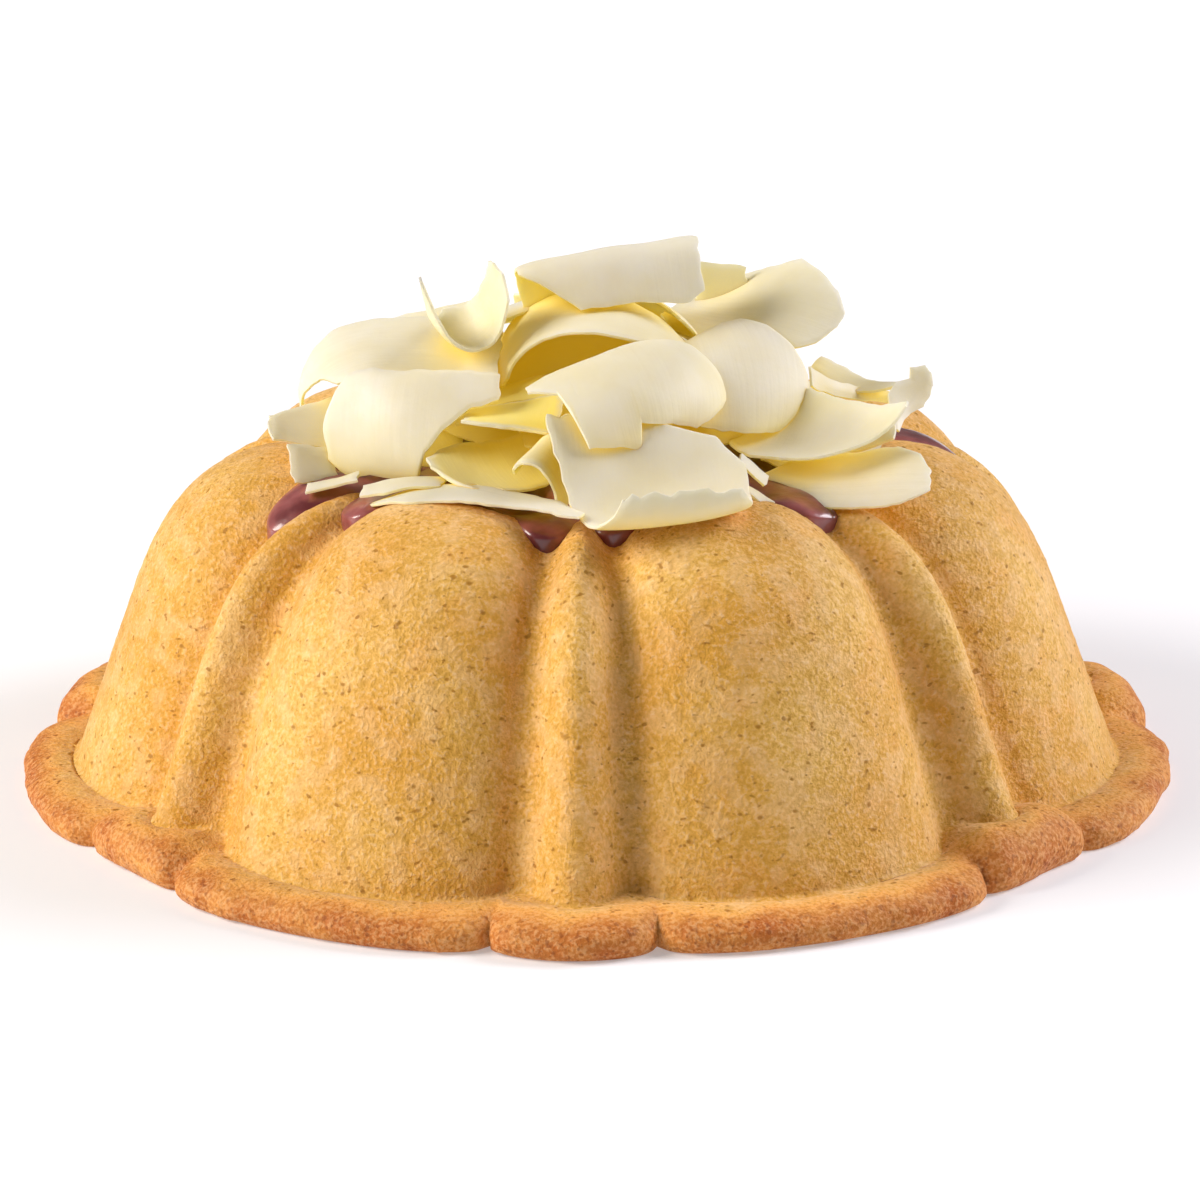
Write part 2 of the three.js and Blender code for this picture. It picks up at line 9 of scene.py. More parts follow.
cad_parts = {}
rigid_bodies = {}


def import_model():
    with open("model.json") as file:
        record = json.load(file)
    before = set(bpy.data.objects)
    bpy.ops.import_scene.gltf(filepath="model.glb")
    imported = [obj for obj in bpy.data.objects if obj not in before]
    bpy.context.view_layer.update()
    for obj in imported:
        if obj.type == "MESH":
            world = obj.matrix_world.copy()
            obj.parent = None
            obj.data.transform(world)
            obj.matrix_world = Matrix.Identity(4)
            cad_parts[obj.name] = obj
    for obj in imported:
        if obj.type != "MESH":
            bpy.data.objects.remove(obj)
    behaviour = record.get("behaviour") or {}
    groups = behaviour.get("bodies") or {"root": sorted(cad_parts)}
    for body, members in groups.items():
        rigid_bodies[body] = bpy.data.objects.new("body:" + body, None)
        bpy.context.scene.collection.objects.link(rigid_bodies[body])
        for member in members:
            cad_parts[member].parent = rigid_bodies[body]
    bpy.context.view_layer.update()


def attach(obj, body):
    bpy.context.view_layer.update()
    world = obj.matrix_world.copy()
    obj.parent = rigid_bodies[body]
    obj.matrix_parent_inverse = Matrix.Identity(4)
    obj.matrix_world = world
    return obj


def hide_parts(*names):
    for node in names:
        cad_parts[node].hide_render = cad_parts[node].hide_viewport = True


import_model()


# ---- the table and the light -----------------------------------------------------------------
# A plain white sweep, lit by a wide soft lamp high on the left of the camera, a low wide one on
# the right that edges the right of the cake, and the white room itself.

MM = 0.001


def tone(hex_colour):
    """An sRGB hex colour as linear RGBA."""
    steps = [int(hex_colour[k:k + 2], 16) / 255 for k in (1, 3, 5)]
    return tuple(s / 12.92 if s <= 0.04045 else ((s + 0.055) / 1.055) ** 2.4 for s in steps) + (1,)


def add(tree, kind, inputs=None, **settings):
    """Adds a node with its settings, and gives each input its value or its link."""
    made = tree.nodes.new(kind)
    for name, value in settings.items():
        setattr(made, name, value)
    for socket, value in (inputs or {}).items():
        if isinstance(value, bpy.types.NodeSocket):
            tree.links.new(value, made.inputs[socket])
        else:
            made.inputs[socket].default_value = value
    return made


def new_material(name):
    material = bpy.data.materials.new(name)
    material.use_nodes = True
    material.node_tree.nodes.clear()
    return material, material.node_tree


def show(name, mesh):
    piece = bpy.data.objects.new(name, mesh)
    bpy.context.scene.collection.objects.link(piece)
    return piece


def closed_mesh(name, points, faces, material):
    """A smooth mesh from points in millimetres."""
    mesh = bpy.data.meshes.new(name)
    mesh.from_pydata((np.asarray(points) * MM).tolist(), [], faces)
    mesh.materials.append(material)
    mesh.shade_smooth()
    return mesh


# white painted board, matte: it shows nothing but the soft shadow, and is lit from below further
# off, so that it stays as white there as beside the cake
board, tree = new_material("white painted board")
place = add(tree, "ShaderNodeTexCoord").outputs["Object"]
off = add(tree, "ShaderNodeVectorMath", {0: place}, operation="LENGTH")
glow = add(tree, "ShaderNodeMapRange", {"Value": off.outputs["Value"], "From Min": 0.3,
                                        "From Max": 1.1, "To Min": 0.28, "To Max": 0.8})
paint = add(tree, "ShaderNodeBsdfPrincipled", {
    "Base Color": tone("#D9D8DC"), "Roughness": 0.9, "Specular IOR Level": 0.1,
    "Emission Color": tone("#FFFFFF"), "Emission Strength": glow.outputs[0]})
add(tree, "ShaderNodeOutputMaterial", {"Surface": paint.outputs[0]})

reach = 4000
floor = show("table_top", closed_mesh(
    "table_top", [(-reach, -reach, 0), (reach, -reach, 0), (reach, reach, 0), (-reach, reach, 0)],
    [(0, 1, 2, 3)], board))

room = bpy.data.worlds.new("white room")
room.use_nodes = True
room.node_tree.nodes["Background"].inputs["Color"].default_value = tone("#FFFFFF")
room.node_tree.nodes["Background"].inputs["Strength"].default_value = 0.15
bpy.context.scene.world = room
bpy.context.scene.view_settings.view_transform = "Standard"


def lamp(name, place, size, watts, colour):
    """A square soft lamp that faces the middle of the cake."""
    light = bpy.data.lights.new(name, "AREA")
    light.shape = "SQUARE"
    light.size = size
    light.energy = watts
    light.color = tone(colour)[:3]
    made = bpy.data.objects.new(name, light)
    made.location = place
    made.rotation_euler = (Vector((0, 0, 0.05)) - Vector(place)).to_track_quat("-Z", "Y").to_euler()
    bpy.context.scene.collection.objects.link(made)


lamp("window_lamp", (-1.2, -0.24, 0.78), 0.8, 25, "#FFF9F0")
lamp("edge_lamp", (1.15, 0.2, 0.78), 0.7, 18, "#FBF9FF")

# The photograph's place: a long lens about a metre off, 17 degrees above the table.
DISTANCE = 988.99            # millimetres from the axis, at TARGET height
TARGET = 35.4
LOOK_DOWN = 16.63            # degrees
TILT = -0.59                 # degrees of roll
PAN = -0.05
FRAME_SIDE = 1200            # pixels of the square photograph
FOCAL = 4670.4               # in the same pixels

slope = math.radians(LOOK_DOWN)
ahead = Vector((0, math.cos(slope), -math.sin(slope)))
ahead.rotate(Matrix.Rotation(math.radians(PAN), 3, "Z"))
across = ahead.cross(Vector((0, 0, 1))).normalized()
upward = across.cross(ahead)
roll = math.radians(TILT)
right = across * math.cos(roll) + upward * math.sin(roll)
upward = upward * math.cos(roll) - across * math.sin(roll)
lens = bpy.data.cameras.new("long_lens")
lens.sensor_width = 36
lens.lens = 36 * FOCAL / FRAME_SIDE
camera = bpy.data.objects.new("long_lens", lens)
eye = Vector((0, -DISTANCE * math.cos(slope), TARGET + DISTANCE * math.sin(slope))) * MM
turn = Matrix((right, upward, -ahead)).transposed()
camera.matrix_world = Matrix.Translation(eye) @ turn.to_4x4()
bpy.context.scene.collection.objects.link(camera)
bpy.context.scene.camera = camera


# ---- the cake ----------------------------------------------------------------------------------
# A butter pound cake baked in a fluted tube tin and turned out: seven broad domed lobes, seven
# narrow ribs with a groove down both sides, and a rolled skirt where the batter rose over the
# tin's foot. The crust is a fine golden crumb, browner and more open on the skirt.

FLUTES = 7
PITCH = 360 / FLUTES
FRONT_RIB = -2.5             # bearing of the front rib, degrees from -Y towards +X
RIB_HALF = 6.2               # degrees from a rib's crest to the groove beside it
NOTCH = 8.1                  # degrees from a rib's crest to the notch in the skirt
# three lines down the tin wall: foot radius, lean for each mm of height, crown radius, height
LOBE = np.array([113, 0.36, 63, 72.5])
RIB = np.array([113.5, 0.39, 58.5, 69.5])
GROOVE = np.array([101.6, 0.4, 58.5, 63])
SHOULDER = 8.5               # how sharply the wall turns over into the crown
LOBE_ROUND = (2.2, 0.6)
RIB_CREST = 0.5
SOFTEN = 0.9                 # degrees, over which the baked flutes are rounded off
DISH_FLOOR = 62
DISH_RADIUS = 44
SKIRT_RADIUS = 118.5
SKIRT_HEIGHT = 5.6
SKIRT_UNDERCUT = 2.4         # how far the edge rolls under at the table
BEAD_WIDTH = 13              # the rolled bead, from its edge in towards the wall
BEAD_RISE = 1.4
BEAD_END = 120               # degrees round the bead to the fillet at the wall
BEAD_MIDDLE = 0.42           # height of its outermost line, as a share of its crest
FILLET = 1
NOTCH_DEPTH = 3.6
NOTCH_WIDTH = 0.7            # degrees
BROAD_BULGE = 3.3
TOE_BULGE = np.array([4, -1, 0.5, 1.5, 0, 1, -1])
TOE_RISE = np.array([0.6, 4.2, 4.6, 1.5, 1, 4.6, 2.4])


def smooth(low, high, value):
    share = np.clip((value - low) / (high - low), 0, 1)
    return share * share * (3 - 2 * share)


def polar(radius, bearing, height):
    angle = np.radians(bearing)
    return np.stack(np.broadcast_arrays(radius * np.sin(angle), -radius * np.cos(angle), height), -1)


def nearest_rib(bearing):
    turned = np.mod(bearing - FRONT_RIB, 360) / PITCH
    index = np.round(turned).astype(int)
    return index % FLUTES, (turned - index) * PITCH


def tin_line(bearing):
    """Foot radius, lean, crown radius and height of the tin at each bearing."""
    off = np.abs(nearest_rib(bearing)[1])
    bend = np.hypot(off / RIB_HALF, RIB_CREST) - RIB_CREST
    rib_swell = 1 - bend / (np.hypot(1, RIB_CREST) - RIB_CREST)
    aside = np.clip((PITCH / 2 - off) / (PITCH / 2 - RIB_HALF), 0, 1)
    lobe_swell = (1 - aside ** LOBE_ROUND[0]) ** LOBE_ROUND[1]
    on_rib = (off < RIB_HALF)[..., None]
    swell = np.where(on_rib, rib_swell[..., None], lobe_swell[..., None])
    return np.moveaxis(GROOVE + (np.where(on_rib, RIB, LOBE) - GROOVE) * swell, -1, 0)


def wall_line(bearing):
    """The baked wall's line: the tin's, rounded off where it turns sharply."""
    return np.mean([tin_line(bearing + step * SOFTEN) for step in (-2, -1, 0, 1, 2)], axis=0)


def wall_radius(line, height):
    foot, lean, crown, top = line
    opened = np.sqrt(np.clip(1 - (height / top) ** SHOULDER, 0, 1))
    return crown + (foot - lean * height - crown) * opened


def crown_height(line, radius):
    return DISH_FLOOR + (line[3] - DISH_FLOOR) * smooth(DISH_RADIUS, line[2], radius)


def skirt_radius(bearing):
    index, off = nearest_rib(bearing)
    side = np.abs(off)
    toe = TOE_BULGE[index] * (1 - (side / NOTCH) ** 2)
    broad = BROAD_BULGE * (1 - ((PITCH / 2 - side) / (PITCH / 2 - NOTCH)) ** 4)
    notch = NOTCH_DEPTH * np.exp(-np.abs(side - NOTCH) / NOTCH_WIDTH)
    return SKIRT_RADIUS + np.where(side < NOTCH, toe, broad) - notch


def skirt_height(bearing):
    index, off = nearest_rib(bearing)
    return SKIRT_HEIGHT + TOE_RISE[index] * smooth(0, NOTCH * 0.5, NOTCH * 1.1 - np.abs(off))


def bead_points(bearing, angle, grow):
    """The skirt's rolled bead: -90 at the table, 0 at its outer edge, BEAD_END on its top."""
    edge, crest = skirt_radius(bearing), skirt_height(bearing) + BEAD_RISE
    middle = BEAD_MIDDLE * crest
    inside = wall_radius(wall_line(bearing), crest) + FILLET
    width = np.minimum(edge - inside, BEAD_WIDTH) / (1 - math.cos(math.radians(BEAD_END)))
    swing = math.radians(angle)
    inset = (SKIRT_UNDERCUT if angle < 0 else width) * (1 - math.cos(swing))
    height = middle + (middle if angle < 0 else crest - middle) * math.sin(swing)
    return edge - inset + grow, height


def bearings(rib_steps, lobe_steps):
    """Bearings all round, closer together across the ribs and their grooves."""
    edge = 11.5
    flute = np.concatenate([np.linspace(-edge, edge, rib_steps, endpoint=False),
                            np.linspace(edge, PITCH - edge, lobe_steps, endpoint=False)])
    return np.concatenate([FRONT_RIB + k * PITCH + flute for k in range(FLUTES)])


def stack_rings(rings, low_point, high_point):
    """Points and faces of a closed form made of rings, lowest first, with a point at each end."""
    sides = len(rings[0])
    points = np.concatenate([[low_point], *rings, [high_point]])
    k = np.arange(sides)
    after = (k + 1) % sides
    faces = []
    for ring in range(len(rings) - 1):
        under, over = 1 + ring * sides, 1 + (ring + 1) * sides
        faces += np.stack([under + k, under + after, over + after, over + k], -1).tolist()
    faces += np.stack([0 * k, 1 + after, 1 + k], -1).tolist()
    faces += np.stack([over + k, over + after, 0 * k + len(points) - 1], -1).tolist()
    return points, faces


def bead_angles(edge_rows):
    return [*np.linspace(-90, 0, edge_rows // 3, endpoint=False), *np.linspace(0, BEAD_END, edge_rows)]


def cake_form(around, wall_rows, edge_rows, grow=0):
    line = wall_line(around)
    rings = []
    for angle in bead_angles(edge_rows):
        radius, height = bead_points(around, angle, grow)
        rings.append(polar(radius, around, height))
    ledge = height
    for swing in np.radians((0, 25, 50, 70)):
        height = ledge + FILLET * (1 - np.cos(swing))
        out = wall_radius(line, height) + FILLET * (1 - np.sin(swing))
        inside_bead = radius - 0.05 - swing / 10        # each step further in than the last
        rings.append(polar(np.minimum(out, inside_bead) + grow, around, height))
    foot = ledge + FILLET
    rings.append(polar(wall_radius(line, foot) + grow, around, foot))
    turning = np.linspace(1, 0, wall_rows // 3) ** 1.4
    bend_rows = (1 - turning ** 2 * (1 - 0.8 ** SHOULDER)) ** (1 / SHOULDER)
    for share in [*np.linspace(0.02, 0.8, wall_rows - len(turning), endpoint=False), *bend_rows]:
        height = foot + (line[3] - foot) * share
        rings.append(polar(wall_radius(line, height) + grow, around, height + grow * share))
    for share in (0.985, 0.96, 0.92, 0.87, 0.81, 0.75):
        rings.append(polar(line[2] * share, around, crown_height(line, line[2] * share) + grow))
    rings.append(polar(20, around, DISH_FLOOR + grow))
    return stack_rings(rings, (0, 0, 0), (0, 0, DISH_FLOOR + grow))


# baked butter crumb: a dry golden crust of pale and dark grains a millimetre across, pricked all
# over with small flat pores whose holes are painted shade, darker colour with no depth; the skirt,
# which stood in the tin's hot foot, is orange-brown and more open
GRAIN, CLUMP, BLUSH, UNEVEN, PATCH = 0.85, 2.4, 5, 9, 24        # millimetres across
STRAY = 2.2                  # millimetres between a pore's wanderings
STRAY_FAR = 0.8              # and how far it wanders
# painted shade: over this share of a pore's width the colour is at its darkest, for the shade where it
# is deepest
PORE_FLOOR = 0.45            # share of a pore's width that is as deep as it goes
DOWN_ON_WALL, DOWN_ON_SKIRT = 0.28, 0.08                        # the crust's soft pale sheen

crumb, tree = new_material("baked butter crumb")
place = add(tree, "ShaderNodeTexCoord").outputs["Object"]


def noise(tree, vector, size, detail=2.0, roughness=0.5):
    """Noise whose features are about size millimetres across."""
    return add(tree, "ShaderNodeTexNoise", {"Vector": vector, "Scale": 1 / (size * MM),
                                            "Detail": detail, "Roughness": roughness}).outputs["Fac"]


def ramp(tree, value, low, high, start=0.0, end=1.0):
    """A value that goes from start to end as the given one goes from low to high."""
    return add(tree, "ShaderNodeMapRange", {"Value": value, "From Min": low, "From Max": high,
                                            "To Min": start, "To Max": end}).outputs[0]


def blend(tree, share, first, second):
    """A colour between two others."""
    return add(tree, "ShaderNodeMix", {"Factor": share, "A": first, "B": second},
               data_type="RGBA").outputs["Result"]


def reckon(tree, first, second, operation="ADD"):
    """One step of arithmetic between two values."""
    return add(tree, "ShaderNodeMath", {0: first, 1: second}, operation=operation).outputs[0]


def pores(tree, vector, spacing, widest, share):
    """Round holes, painted as shade that is darkest in the middle: one in each cell, of every width up
    to the widest, left out of some cells.
    """
    cells = add(tree, "ShaderNodeTexVoronoi", {"Vector": vector, "Scale": 1 / (spacing * MM)})
    draw = add(tree, "ShaderNodeSeparateColor", {0: cells.outputs["Color"]})
    width = ramp(tree, draw.outputs[0], 1 - share, 1, 0, widest / 2 / spacing)
    inner = reckon(tree, width, PORE_FLOOR, "MULTIPLY")
    return add(tree, "ShaderNodeMapRange", {
        "Value": cells.outputs["Distance"], "From Min": inner, "From Max": width,
        "To Min": 1, "To Max": 0}).outputs[0]


# the pores are wider than they are tall, and not quite round
stray = add(tree, "ShaderNodeTexNoise", {"Vector": place, "Scale": 1 / (STRAY * MM), "Detail": 0})
strayed = add(tree, "ShaderNodeVectorMath", {0: stray.outputs["Color"], 1: (0.5, 0.5, 0.5)},
              operation="SUBTRACT")
drift = add(tree, "ShaderNodeVectorMath", {0: strayed.outputs[0], "Scale": STRAY_FAR * MM},
            operation="SCALE")
wandering = add(tree, "ShaderNodeVectorMath", {0: place, 1: drift.outputs[0]}).outputs[0]
flattened = add(tree, "ShaderNodeVectorMath", {0: wandering, 1: (1, 1, 1.5)},
                operation="MULTIPLY").outputs[0]
pits = ramp(tree, noise(tree, flattened, 1.9, 1), 0.33, 0.24)
wall_pores = reckon(tree, pores(tree, flattened, 3.5, 1.8, 0.75), pits, "MAXIMUM")
skirt_pores = reckon(tree, pores(tree, wandering, 1.7, 1.5, 0.85),
                     ramp(tree, noise(tree, place, 1.3, 1), 0.4, 0.3), "MAXIMUM")

# how far the skirt's heat has browned it, unevenly: first a little, then a good deal at its edge
baking = add(tree, "ShaderNodeAttribute", attribute_name="skirt").outputs["Fac"]
uneven = ramp(tree, noise(tree, place, UNEVEN, 2), 0.3, 0.7, -0.22, 0.22)
heat = reckon(tree, baking, uneven)
low = ramp(tree, heat, 0.05, 0.6)
foot = ramp(tree, heat, 0.55, 1.2)
patches = ramp(tree, noise(tree, place, PATCH, 0), 0.3, 0.7)
blush = ramp(tree, noise(tree, place, BLUSH, 0), 0.48, 0.66, 0, 0.25)
grains = noise(tree, place, GRAIN, 2, 0.6)
clumps = noise(tree, place, CLUMP, 2, 0.6)
gold = blend(tree, patches, tone("#E0A23A"), tone("#EBBA5E"))
gold = blend(tree, ramp(tree, grains, 0.34, 0.52, 0.55, 0), gold, tone("#BE8A24"))
gold = blend(tree, ramp(tree, grains, 0.5, 0.72, 0, 0.45), gold, tone("#F8D9AE"))
gold = blend(tree, ramp(tree, clumps, 0.36, 0.54, 0.4, 0), gold, tone("#C48E1E"))
gold = blend(tree, blush, gold, tone("#F5CC98"))
brown = blend(tree, foot, tone("#EFAA50"), tone("#BC6418"))
brown = blend(tree, ramp(tree, grains, 0.45, 0.65, 0, 0.45), brown, tone("#F2BE84"))
brown = blend(tree, ramp(tree, grains, 0.36, 0.5, 0.35, 0), brown, tone("#A85A1A"))
baked = blend(tree, low, gold, brown)
pore = blend(tree, foot, wall_pores, skirt_pores)
# painted shade: the pores have no depth of their own, so their holes are painted a dark gold-brown,
# browner on the skirt
pore_shaded = blend(tree, reckon(tree, pore, 0.78, "MULTIPLY"), baked,
              blend(tree, low, tone("#9C6608"), tone("#8F460D")))
grain_bump = add(tree, "ShaderNodeBump", {"Height": grains, "Strength": 0.7, "Distance": 0.55 * MM})
clump_bump = add(tree, "ShaderNodeBump", {"Height": clumps, "Strength": 0.5, "Distance": 0.7 * MM,
                                          "Normal": grain_bump.outputs[0]})
down = reckon(tree, ramp(tree, low, 0, 1, DOWN_ON_WALL, DOWN_ON_SKIRT),
              ramp(tree, pore, 0, 1, 1, 0), "MULTIPLY")
skin = add(tree, "ShaderNodeBsdfPrincipled", {
    "Base Color": pore_shaded, "Roughness": 0.66, "Specular IOR Level": 0.35, "Sheen Weight": down,
    "Sheen Roughness": 0.45, "Sheen Tint": tone("#FFE8DA"), "Normal": clump_bump.outputs[0]})
add(tree, "ShaderNodeOutputMaterial", {"Surface": skin.outputs[0]})

# the crumb's own unevenness: slow swells over each lobe, a pebbly grain on top of them, and lumps
# on the skirt; what stands on the table stays flat
relief = bpy.data.node_groups.new("crumb relief", "GeometryNodeTree")
relief.interface.new_socket("Geometry", in_out="INPUT", socket_type="NodeSocketGeometry")
dials = {}
for label, value in {"Swell Size": 26 * MM, "Swell Height": 0.7 * MM, "Pebble Size": 3.4 * MM,
                     "Pebble Height": 0.34 * MM, "Crumb Size": 1.7 * MM, "Crumb Height": 0.24 * MM,
                     "Lump Size": 11 * MM, "Lump Height": 2.4 * MM, "Lump Top": 9 * MM}.items():
    dials[label] = (relief.interface.new_socket(
        label, in_out="INPUT", socket_type="NodeSocketFloat").identifier, value)
relief.interface.new_socket("Geometry", in_out="OUTPUT", socket_type="NodeSocketGeometry")
given = add(relief, "NodeGroupInput").outputs
spot = add(relief, "GeometryNodeInputPosition")
height = add(relief, "ShaderNodeSeparateXYZ", {0: spot.outputs[0]}).outputs[2]
lifts = {}
for label in ("Swell", "Pebble", "Crumb", "Lump"):
    rate = reckon(relief, 1.0, given[label + " Size"], "DIVIDE")
    wave = add(relief, "ShaderNodeTexNoise", {"Scale": rate, "Detail": 2}).outputs["Fac"]
    lifts[label] = reckon(relief, reckon(relief, wave, 0.5, "SUBTRACT"), given[label + " Height"],
                          "MULTIPLY")
near_table = add(relief, "ShaderNodeMapRange", {
    "Value": height, "From Min": given["Lump Top"], "From Max": 4 * MM, "To Min": 0, "To Max": 1})
lumps = reckon(relief, lifts["Lump"], near_table.outputs[0], "MULTIPLY")
lift = reckon(relief, reckon(relief, lifts["Swell"], lifts["Pebble"]),
              reckon(relief, lifts["Crumb"], lumps))
outward = add(relief, "GeometryNodeInputNormal")
offset = add(relief, "ShaderNodeVectorMath", {0: outward.outputs[0], "Scale": lift},
             operation="SCALE")
off_table = reckon(relief, height, 0.6 * MM, "GREATER_THAN")
moved = add(relief, "GeometryNodeSetPosition", {
    "Geometry": given["Geometry"], "Selection": off_table, "Offset": offset.outputs[0]})
solid = add(relief, "GeometryNodeRealizeInstances", {"Geometry": moved.outputs[0]})
dressed = add(relief, "GeometryNodeSetMaterial", {"Geometry": solid.outputs[0], "Material": crumb})
add(relief, "NodeGroupOutput", {"Geometry": dressed.outputs[0]})


def through_tree(piece, group, values):
    """Runs a piece's mesh through a Geometry Nodes tree and keeps the plain mesh that comes out."""
    step = piece.modifiers.new(group.name, "NODES")
    step.node_group = group
    for identifier, value in values.values():
        step[identifier] = value
    made = piece.evaluated_get(bpy.context.evaluated_depsgraph_get())
    mesh = bpy.data.meshes.new_from_object(made)
    mesh.name = piece.name
    piece.modifiers.clear()
    piece.data = mesh
    return piece


BROWN_FROM, BROWN_TO = 125, 35            # degrees round the bead
around, wall_rows, edge_rows = bearings(46, 66), 88, 18
points, faces = cake_form(around, wall_rows, edge_rows)
mesh = closed_mesh("fluted_cake", points, faces, crumb)
browned = [smooth(BROWN_FROM, BROWN_TO, angle) for angle in bead_angles(edge_rows)]
browning = np.zeros(len(points))
browning[1:1 + len(browned) * len(around)] = np.repeat(browned, len(around))
mesh.attributes.new("skirt", "FLOAT", "POINT").data.foreach_set("value", browning)
cake = through_tree(show("fluted_cake", mesh), relief, dials)
cake.data.shade_smooth()
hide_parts("cake")
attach(cake, "root")


# ---- the berry cream ---------------------------------------------------------------------------
# Dark pink berry cream poured into the dished crown. It is thick: it stands a few millimetres
# high at its rounded edge, and runs out in short tongues where the grooves let it go.

CREAM_LEVEL = 71.6
CREAM_EDGE = 3.4
CREAM_REACH = 56
TONGUE_WIDTH = 6.8           # degrees
CREAM_BRIDGE = 3             # degrees, over which it smooths the flutes under it
TONGUES = ((-60, 76), (-47.5, 68), (-28, 63.5), (-9, 65), (4, 62), (43, 68), (93, 82), (146, 70),
           (160, 64), (198, 71), (247, 68))      # bearing, and reach in millimetres


def away(start, end):
    return np.mod(end - start + 180, 360) - 180


def surface_height(bearing, radius):
    """Height of the cake's upper surface, found by halving where the wall has turned down."""
    line = wall_line(bearing)
    low, high = line[3] * 0.5, line[3].copy()
    for _ in range(24):
        middle = (low + high) / 2
        outside = wall_radius(line, middle) > radius
        low, high = np.where(outside, middle, low), np.where(outside, high, middle)
    return np.where(radius <= line[2], crown_height(line, radius), low)


def bridged_height(bearing, radius):
    """The cake's surface as the cream lies over it, smoothed from flute to flute."""
    return np.mean([surface_height(bearing + step * CREAM_BRIDGE, radius)
                    for step in (-2, -1, 0, 1, 2)], axis=0)


def cream_form(sides, rows, grow=0):
    around = FRONT_RIB + np.arange(sides) * 360 / sides
    run = [(reach - CREAM_REACH) * np.exp(-np.abs(away(at, around) / TONGUE_WIDTH) ** 3)
           for at, reach in TONGUES]
    edge = CREAM_REACH + np.max(run, axis=0)
    ripple = 0.5 * np.sin(np.radians(around * 17)) + 0.35 * np.sin(np.radians(around * 31 + 40))
    edge = edge + ripple
    rings = [polar(edge * 0.9, around, DISH_FLOOR - 6),
             polar(edge, around, surface_height(around, edge) - 2)]
    for share in np.sin(np.linspace(math.pi / 2, 0.2, rows)):
        radius = edge * share
        film = CREAM_EDGE * np.sqrt(1 - share ** 5) + grow
        lying = bridged_height(around, radius) + film
        pool = 1 - smooth(0.66, 0.97, share)
        height = lying + (np.maximum(lying, CREAM_LEVEL + grow) - lying) * pool
        rings.append(polar(radius + grow, around, height))
    return stack_rings(rings, (0, 0, DISH_FLOOR - 6), (0, 0, CREAM_LEVEL + grow))


# berry cream: smooth, wet and glossy, dark maroon where it is deep, pinker where it is thin
fruit, tree = new_material("berry cream")
place = add(tree, "ShaderNodeTexCoord").outputs["Object"]
pink = blend(tree, ramp(tree, noise(tree, place, 9, 3), 0.35, 0.65), tone("#682628"), tone("#A65E5C"))
wet_bump = add(tree, "ShaderNodeBump", {"Height": noise(tree, place, 2.2), "Strength": 0.3,
                                        "Distance": 0.4 * MM})
gloss = add(tree, "ShaderNodeBsdfPrincipled", {
    "Base Color": pink, "Roughness": 0.3, "Specular IOR Level": 0.6, "Coat Weight": 0.5,
    "Coat Roughness": 0.12, "Subsurface Weight": 0.3, "Subsurface Scale": 2 * MM,
    "Normal": wet_bump.outputs[0]})
gloss.inputs["Subsurface Radius"].default_value = (1.0, 0.35, 0.3)
add(tree, "ShaderNodeOutputMaterial", {"Surface": gloss.outputs[0]})

points, faces = cream_form(420, 26)
cream = show("berry_cream_pool", closed_mesh("berry_cream_pool", points, faces, fruit))
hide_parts("berry_cream")
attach(cream, "root")


# ---- the shavings: how one is made -------------------------------------------------------------
# White chocolate pared off a block with a wide blade. Each comes away as a thin sheet that
# curls, with a clean cut edge along its length and a ragged one where it broke off.

THICKNESS = 1.0
THIN_EDGE = 0.55             # share of the thickness left at a rim
FINE = 0.75                  # millimetres between a sheet's points
CLEARANCE = 0.12
RIM = 0.35                   # the outermost row of points stands this far from the next
REACH = 50                   # no sheet runs further than this from its middle
RIPPLE = 0.16
CREASED_FROM = 38            # degrees, from which an edge stays sharp

# white chocolate: ivory and satin, full of fat, so that some light sinks in; the yellow between the
# sheets is painted light, a golden colour and a faint golden glow where the sheets are sheltered or
# sit deep in the heap; the blade leaves faint lines along its stroke
STROKE = 1.4                 # millimetres between the blade's lines
ivory, tree = new_material("white chocolate")
sheet_map = add(tree, "ShaderNodeUVMap", uv_map="stroke").outputs[0]
drawn = add(tree, "ShaderNodeMapping", {"Vector": sheet_map, "Scale": (1 / 30, 1 / STROKE, 1)})
lines = add(tree, "ShaderNodeTexNoise", {"Vector": drawn.outputs[0], "Scale": 1, "Detail": 3})
place = add(tree, "ShaderNodeTexCoord").outputs["Object"]
bloom = noise(tree, place, 12, 3)
# painted light: a share of gold that grows where other sheets crowd close (ambient occlusion) and with
# how deep the piece sits in the heap
open_air = add(tree, "ShaderNodeAmbientOcclusion", {"Distance": 38 * MM}, samples=2)
nested_painted_gold_map = add(tree, "ShaderNodeUVMap", uv_map="nested_painted_gold").outputs[0]
nested_painted_gold = add(tree, "ShaderNodeSeparateXYZ", {0: nested_painted_gold_map}).outputs[0]
painted_gold_share = ramp(tree, reckon(tree, ramp(tree, open_air.outputs["AO"], 0.64, 0.22), nested_painted_gold), 0, 1)
chocolate_colour = blend(tree, ramp(tree, bloom, 0.35, 0.65), tone("#E3DECE"), tone("#DFD7BE"))
# painted light: the sheltered parts are painted golden yellow, standing for light that comes back
# yellow between the sheets
chocolate_colour = blend(tree, painted_gold_share, chocolate_colour, tone("#FBE36C"))
line_bump = add(tree, "ShaderNodeBump", {"Height": lines.outputs["Fac"], "Strength": 0.3,
                                         "Distance": 0.3 * MM})
dust_bump = add(tree, "ShaderNodeBump", {"Height": noise(tree, place, 1.2), "Strength": 0.15,
                                         "Distance": 0.2 * MM, "Normal": line_bump.outputs[0]})
